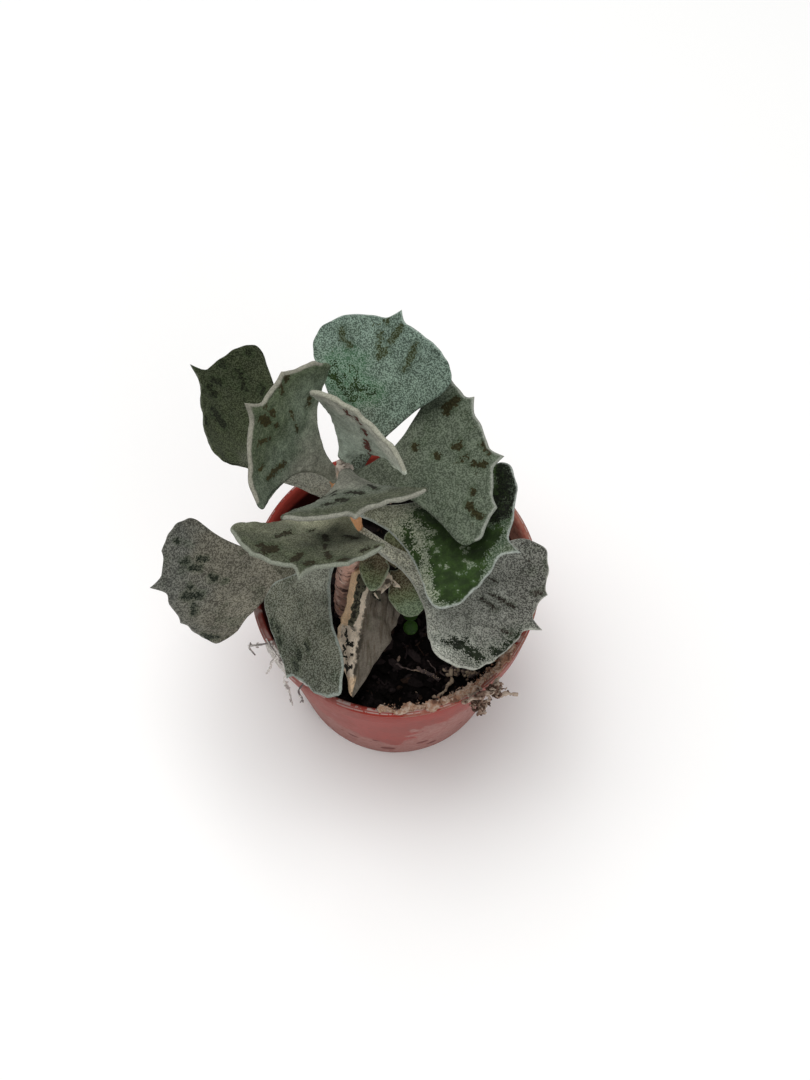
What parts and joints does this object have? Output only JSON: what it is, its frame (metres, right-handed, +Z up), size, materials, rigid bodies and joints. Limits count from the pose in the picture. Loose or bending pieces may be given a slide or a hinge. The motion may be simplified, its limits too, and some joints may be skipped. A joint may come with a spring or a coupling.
{
  "type": "potted succulent plant",
  "caption": "Small succulent with felted, toothed fan-shaped grey-green leaves on a leaning woody stem, rooted in dark soil in a round tapered plastic nursery pot.",
  "frame": {"origin": "middle of the flat underside of the pot, on the pot's axis", "axes": "+Z up along the pot's axis; -Y towards the viewer of the picture; +X to the viewer's right"},
  "size_m": [0.074, 0.0603, 0.1087],
  "materials": {
    "pot": "terracotta-coloured moulded plastic, brighter and redder at the lip, with lime film below",
    "soil": "dark peaty potting soil with bark bits",
    "stem": "woody, pinkish brown and scarred below, whitish felt above",
    "leaf": "grey-green felt with brown flecks and pale thick rims",
    "dried_leaf": "dead leaf, tan and grey with dark specks",
    "seedling": "fresh green, slightly glossy",
    "crust": "crumbly lime and root crust",
    "roots_pale": "thin dry pale roots",
    "roots_brown": "thin dry brown roots"
  },
  "bodies": {
    "root": {"pot": "pot", "soil": "soil", "main_stem": "stem", "leaf_top_back": "leaf", "leaf_top_front": "leaf", "leaf_upper_left": "leaf", "leaf_upper_right": "leaf", "leaf_back": "leaf", "leaf_front": "leaf", "leaf_back_left": "leaf", "leaf_right": "leaf", "leaf_low_left": "leaf", "leaf_low_right": "leaf", "leaf_hanging": "leaf", "dried_leaf": "dried_leaf", "side_shoot": "leaf", "seedling": "seedling", "rim_crust": "crust", "roots_left": "roots_pale", "roots_right": "roots_brown"}
  },
  "joints": []
}
